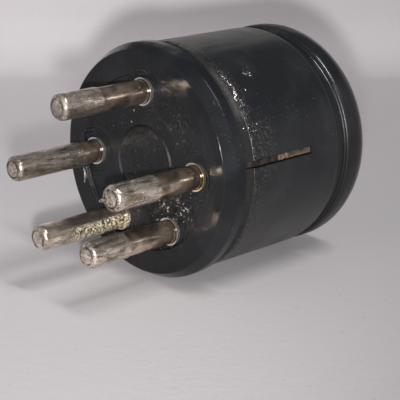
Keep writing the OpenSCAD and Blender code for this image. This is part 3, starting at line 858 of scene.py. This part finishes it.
class TUBE_OT_base(bpy.types.Operator):
    """Finishes the moulded base and strews dry residue on its face"""

    bl_idname = "tube.base"
    bl_label = "Base"

    def execute(self, context):
        look = context.scene.tube_grit
        paint_node("base", base_material())
        level, half, steps = face_level(), 11 * MM, 48
        edge, pile = RECESS - 0.5 * MM, SPILL[0] + 0.3 * MM
        pins = [(pin_axis(n), collar_radius(n) + 0.1 * MM) for n in PINS]
        verts, thick = [], []
        for i in range(steps + 1):
            for j in range(steps + 1):
                x, z = half * (2 * i / steps - 1), half * (2 * j / steps - 1)
                verts.append((x, level, z))
                spread = bell(x - pile, 4.2 * MM) * bell(z - SPILL[1], 1.9 * MM)
                spread += 0.02 * bell(x - 1.5 * MM, 6 * MM) * bell(z - 1.5 * MM, 6 * MM)
                clump = sin(1.7 * x / MM + 1.1) * sin(2.3 * z / MM + 0.4)
                inside = hypot(x, z) < edge
                clear = all(dist((x, z), pin) > room for pin, room in pins)
                thick.append(spread * (0.5 + 0.5 * clump) ** 2 if inside and clear else 0.0)
        mesh = strewn_mesh("face_residue", verts, net_faces(steps, steps), thick, look.residue,
                           flatness=0.3, seed=5, material=flake_material("Residue", 0.58))
        add_piece(mesh)
        return {"FINISHED"}


class TUBE_OT_sleeve(bpy.types.Operator):
    """Finishes the slotted sleeve and strews grit along its front edge"""

    bl_idname = "tube.sleeve"
    bl_label = "Sleeve"

    def execute(self, context):
        look = context.scene.tube_grit
        start, rear = span("sleeve")
        paint_node("sleeve", moulding_material(
            "Sleeve moulding", 0.28, grooves=[(start, start + 0.75 * MM), (rear - 0.4 * MM, rear)],
            worn_edges=[(start + 1.05 * MM, start + 1.55 * MM)],
            dull_and_shade=[(start - 0.1 * MM, start + 0.95 * MM)], window=(46, 10, 8),
            dirty=[(92, 50, start, start + 1.6 * MM), (78, 5, start, start + 4.5 * MM),
                   (120, 12, start + 1 * MM, start + 6 * MM)])[0])
        top = reach("sleeve")
        verts, thick = [], []
        rows, columns = 48, 60
        for i in range(rows + 1):
            along = (0.5 + 6 * i / rows) * MM
            r = top - max(0.0, 1.35 * MM - along) * 0.72
            for j in range(columns + 1):
                degrees = 30 + 40 * j / columns
                angle = radians(degrees)
                verts.append((r * sin(angle), start + along, r * cos(angle)))
                band = bell(along - 1.3 * MM, 0.2 * MM) * bell(degrees - 46, 8.5, power=4)
                dust = 0.015 * bell(along - 1.4 * MM, 1.4 * MM)
                nick = hypot(along - 5.3 * MM, r * radians(degrees - 39.2))
                thick.append(band + dust + 1.2 * bell(nick, 0.35 * MM))
        mesh = strewn_mesh("sleeve_grit", verts, net_faces(rows, columns, flip=True), thick, look.amount,
                           flatness=0.7, seed=3, material=flake_material("Grit", 0.56))
        add_piece(mesh)
        return {"FINISHED"}


class TUBE_OT_end_ring(bpy.types.Operator):
    """Finishes the end ring"""

    bl_idname = "tube.end_ring"
    bl_label = "End ring"

    def execute(self, context):
        look = context.scene.tube_moulding
        _, groove = span("sleeve")
        paint_node("end_ring",
                   moulding_material("End ring moulding", look.gloss, dull_and_shade=[(groove, groove + 4 * MM)],
                                     window=(32, 12, 14), film_and_shade=0.2, dust_and_sheen=0.1)[0])
        return {"FINISHED"}


class TUBE_OT_pins(bpy.types.Operator):
    """Finishes the five contact pins and coats their ends with solder"""

    bl_idname = "tube.pins"
    bl_label = "Pins"

    def execute(self, context):
        look = context.scene.tube_pins
        for n in PINS:
            spots = 0.8 if n == 1 else 0.0
            clean = 0.9 if n in (1, 4) else 0.95
            rim_colour = GOLD_RIM if n == 4 else SILVER_RIM
            paint_node(f"pin_{n}", tarnish_material(n, spots, clean, rim_colour))
            # Only pin 3's coat gets painted shade on its underside.
            solder = solder_material(n, spots, underside_shade=0.6 if n == 3 else 0.0)
            mesh = turned_mesh(f"solder_coat_{n}", self.profile(n, look, look.coats[n - 1]), solder, 96,
                               axis=pin_axis(n), lump_size=0.9 * MM, seed=n * 3.7)
            add_piece(mesh, replaces=[f"pin_solder_{n}"])
            if n == 4:
                self.spur(n, solder)
        return {"FINISHED"}

    def spur(self, n, solder):
        """A small pointed spur where the solder ran off the end of a pin"""
        x, z = pin_axis(n)
        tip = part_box(f"pin_solder_{n}")[0].y
        outline = ((0, -0.50, 0), (0.09, -0.40, 0), (0.20, -0.10, 0.03), (0.34, 0.35, 0.03),
                   (0.25, 0.75, 0), (0, 0.85, 0))
        points = [(r * MM, tip + y * MM, lump * MM, 0) for r, y, lump in outline]
        mesh = turned_mesh(f"solder_spur_{n}", points, solder, 24, axis=(x - 1.25 * MM, z - 0.35 * MM),
                           lump_size=0.3 * MM, seed=2.0)
        add_piece(mesh)

    def profile(self, n, look, start):
        """Plug that fills the end of a pin and the coat outside it, from the plug's top to its bore"""
        low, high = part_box(f"pin_solder_{n}")
        pin_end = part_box(f"pin_{n}")[0].y
        bore = bore_radius(n)
        outside = pin_radius(n)
        wall, turn_in, gap = outside - bore, 0.55 * MM, 0.003 * MM
        lead, lead_end = 0.25 * MM, 1.0 * MM
        top, lump, edge = look.coat_thickness, look.lumps, 0.45 * MM
        shoulder = pin_end + turn_in

        def arc(r, y, wide, tall, angles, lump, wave):
            """Points of an elliptic arc about (r, y), at angles from the way that the pins point"""
            return [(r + wide * sin(a), y - tall * cos(a), lump, wave) for a in map(radians, angles)]

        # The plug in the bore, and the inside of the coat over the end of the pin and up to its edge
        points = [(0, low.y + lead_end, 0, 0), (lead, low.y + lead_end, 0, 0), (lead, high.y, 0, 0),
                  (bore, high.y, 0, 0), (bore, pin_end, 0, 0)]
        points += arc(bore, shoulder, wall + gap, turn_in + gap, [90 * k / 8 for k in range(1, 8)], 0, 0)
        points += [(outside + gap, shoulder, 0, 0), (outside + gap, -start, 0, edge)]
        # The outside of the coat: its wavy edge, its lumpy side, the rounded end and the dimple
        points += arc(outside + gap, -start - top, top, -top, [90 * k / 4 for k in range(1, 5)], 0, edge)
        rows, wavy_rows = 44, 14
        for k in range(1, rows):
            y = -start - top + (shoulder + start + top) * k / rows
            points.append((outside + gap + top, y, lump, edge * max(0.0, 1 - k / wavy_rows)))
        points += arc(bore, shoulder, wall + gap + top, turn_in + gap + top,
                      [90 - 84 * k / 9 for k in range(10)], lump * 0.6, 0)
        face, depth = bore - 0.05 * MM, pin_end - 0.06 * MM - low.y
        for k in range(9):
            t = 1 - k / 9
            points.append((face * t, low.y + depth * t ** 2, lump * 0.5 * t, 0))
        points.append((0, low.y, 0, 0))
        return points


class TUBE_OT_inside(bpy.types.Operator):
    """Finishes the glass, the electrodes and the other pieces inside"""

    bl_idname = "tube.inside"
    bl_label = "Inside"

    def execute(self, context):
        for node in ("bulb", "stem", "exhaust_tube"):
            paint_node(node, glass_material(node, flash=node == "bulb"))
        paint_node("fibre_liner", fibre_material())
        leads = ("heater_lead_1", "plate_lead_2", "grid_lead_3", "cathode_lead_4", "heater_lead_5")
        for name, colour, roughness, metallic, nodes in (
                ("Cement", (0.25, 0.21, 0.16), 0.85, 0.0, ("basing_cement",)),
                ("Mica", (0.62, 0.58, 0.47), 0.3, 0.0, ("lower_mica", "upper_mica")),
                ("Nickel", (0.42, 0.41, 0.40), 0.35, 1.0,
                 ("plate_rod_left", "plate_rod_right", "control_grid", "getter")),
                ("Carbonised plate", (0.05, 0.05, 0.052), 0.6, 0.0, ("plate",)),
                ("Oxide coating", (0.72, 0.71, 0.68), 0.8, 0.0, ("cathode", "heater")),
                ("Lead wire", (0.55, 0.30, 0.18), 0.35, 1.0, leads)):
            material = plain_material(name, colour, roughness, metallic)
            for node in nodes:
                paint_node(node, material)
        return {"FINISHED"}


class TUBE_OT_stage(bpy.types.Operator):
    """Makes the floor, the lamps, the world and the camera"""

    bl_idname = "tube.stage"
    bl_label = "Stage"

    def execute(self, context):
        scene = context.scene
        look = scene.tube_stage
        self.make_floor(scene, look)
        self.make_world(scene, look)
        self.make_strip(scene, look)
        self.make_spot(scene, look)
        self.make_camera(scene, look)
        scene.view_settings.view_transform = "Standard"
        return {"FINISHED"}

    def paper(self, look):
        """Pale paper with painted light and shade, lighter to one side and darker towards the camera; from
        behind, it is clear
        """
        made, tree, shader = new_material("Paper", Roughness=0.62)
        across = tree.dot(tree.place, Vector((-LEVEL_AIM.y, LEVEL_AIM.x, 0)))
        ahead = tree.dot(tree.place, LEVEL_AIM)

        def shade(start, end, first, last):
            return tree.mix(tree.ramp(across, start, end), rgba(look.floor, first), rgba(look.floor, last))

        # Painted light and shade: lighter to one side and darker towards the camera, as the lamps light
        # the paper unevenly.
        far, close = shade(-45 * MM, 45 * MM, 0.91, 1.09), shade(-30 * MM, 15 * MM, 0.95, 0.85)
        paper = tree.mix(tree.fall(ahead, -57.4 * MM, 26.1 * MM), far, close)
        paper = tree.coat(paper, tree.patches(0.9 * MM, 0.74, 0.78, detail=1), 0.25, PAPER_MARK)
        tree.feed(shader, Base_Color=paper, Normal=tree.bump(tree.noise(1.5 * MM, detail=5), 0.05 * MM))
        behind = tree.node("ShaderNodeNewGeometry").outputs["Backfacing"]
        clear = tree.node("ShaderNodeBsdfTransparent")
        cover = tree.node("ShaderNodeMixShader", {0: behind, 1: shader.outputs[0], 2: clear.outputs[0]})
        output = next(n for n in tree.tree.nodes if n.bl_idname == "ShaderNodeOutputMaterial")
        tree.feed(output, Surface=cover.outputs[0])
        return made

    def make_floor(self, scene, look):
        """A floor that sweeps up to a low wall behind the tube"""
        low, top, turn, half = CAD_BOUNDS[0].z, 0.08, 0.014, 1.2
        side = Vector((-LEVEL_AIM.y, LEVEL_AIM.x, 0))
        line = [(-half, low), (look.wall - turn, low)]
        for k in range(1, 12):
            angle = radians(90 * k / 12)
            line.append((look.wall - turn + turn * sin(angle), low + turn - turn * cos(angle)))
        line += [(look.wall, low + turn), (look.wall, top)]
        verts = [
            tuple(LEVEL_AIM * d + side * half * s + Vector((0, 0, z))) for s in (1, -1) for d, z in line]
        n = len(line)
        sheet = bpy.data.meshes.new("floor")
        sheet.from_pydata(verts, [], [(i + 1, i, n + i, n + i + 1) for i in range(n - 1)])
        sheet.materials.append(self.paper(look))
        sheet.shade_smooth()
        floor = bpy.data.objects.new("floor", sheet)
        scene.collection.objects.link(floor)

    def make_world(self, scene, look):
        """A room that is pale low down and bright above the camera, and dark overhead and behind"""
        world = bpy.data.worlds.new("Room")
        scene.world = world
        world.use_nodes = True
        world.node_tree.nodes.clear()
        tree = Tree(world.node_tree)
        way = tree.node("ShaderNodeTexCoord").outputs["Generated"]
        z = tree.node("ShaderNodeSeparateXYZ", {0: way}).outputs[2]
        facing = tree.dot(way, Vector((0.5, -0.75, 0.45)).normalized())
        lit = tree.most(tree.fall(z, 0.12, 0.5), tree.times(tree.ramp(facing, 0.45, 0.9), 1.25))
        tone = tree.mix(lit, DIM_ROOM, BRIGHT_ROOM)
        light = tree.node("ShaderNodeBackground", {"Color": tone, "Strength": look.ambient})
        tree.node("ShaderNodeOutputWorld", {"Surface": light.outputs[0]})

    def set_up(self, scene, name, data, location, rotation):
        """Puts a lamp or a camera in the scene"""
        made = bpy.data.objects.new(name, data)
        made.location = location
        made.rotation_mode = "QUATERNION"
        made.rotation_quaternion = rotation
        scene.collection.objects.link(made)
        return made

    def make_strip(self, scene, look):
        """A long lamp above the tube, narrow along the tube's axis"""
        lamp = bpy.data.lights.new("Strip lamp", "AREA")
        lamp.shape = "RECTANGLE"
        lamp.size, lamp.size_y = 0.26, 0.045
        lamp.energy = look.strip_power
        distance = 0.6
        towards = Vector((0.475, 0.03, 0.88)).normalized()
        along = Vector((0.867, -0.13, -0.48))
        along = (along - towards * along.dot(towards)).normalized()
        turned = Matrix((along, towards.cross(along), towards)).transposed()
        self.set_up(scene, "Strip lamp", lamp, towards * distance, turned.to_quaternion())

    def make_spot(self, scene, look):
        """A small lamp just below the camera, aimed over the tube at the wall"""
        lamp = bpy.data.lights.new("Front lamp", "SPOT")
        lamp.energy = look.front_power
        lamp.shadow_soft_size = 0.003
        lamp.spot_size, lamp.spot_blend = radians(62), 1.0
        aim = Vector((-0.80, 0.61, -0.06)).to_track_quat("-Z", "Y")
        made = self.set_up(scene, "Front lamp", lamp, Vector((118.6, -108.8, 32.9)) * MM, aim)
        made.visible_camera = False

    def make_camera(self, scene, look):
        """The camera, in front of the tube and above it, looking down at it"""
        lens = bpy.data.cameras.new("Camera")
        lens.lens = look.lens
        lens.sensor_width = 36
        lens.clip_start, lens.clip_end = 0.01, 10
        aim = CAMERA_AIM.to_track_quat("-Z", "Y")
        scene.camera = self.set_up(scene, "Camera", lens, Vector((117.58, -106.64, 42.32)) * MM, aim)


class TUBE_PT_panel(bpy.types.Panel):
    """Lists the tube's settings and the pieces that can be made"""

    bl_idname = "TUBE_PT_panel"
    bl_label = "Five-pin tube"
    bl_space_type = "VIEW_3D"
    bl_region_type = "UI"
    bl_category = "Tube"

    def draw(self, context):
        scene = context.scene
        for settings in (scene.tube_moulding, scene.tube_pins, scene.tube_grit, scene.tube_stage):
            box = self.layout.box()
            for key in settings.__annotations__:
                box.prop(settings, key)
        for operator in OPERATORS:
            self.layout.operator(operator.bl_idname)


SETTINGS = {
    "tube_moulding": TubeMouldingSettings,
    "tube_pins": TubePinSettings,
    "tube_grit": TubeGritSettings,
    "tube_stage": TubeStageSettings,
}
OPERATORS = (TUBE_OT_base, TUBE_OT_sleeve, TUBE_OT_end_ring, TUBE_OT_pins, TUBE_OT_inside, TUBE_OT_stage)


def register():
    for cls in (*SETTINGS.values(), *OPERATORS, TUBE_PT_panel):
        bpy.utils.register_class(cls)
    for name, cls in SETTINGS.items():
        setattr(bpy.types.Scene, name, PointerProperty(type=cls))


def unregister():
    for name in SETTINGS:
        delattr(bpy.types.Scene, name)
    for cls in reversed((*SETTINGS.values(), *OPERATORS, TUBE_PT_panel)):
        bpy.utils.unregister_class(cls)


def main():
    register()
    for operator in OPERATORS:
        group, name = operator.bl_idname.split(".")
        getattr(getattr(bpy.ops, group), name)()


if __name__ == "__main__":
    main()
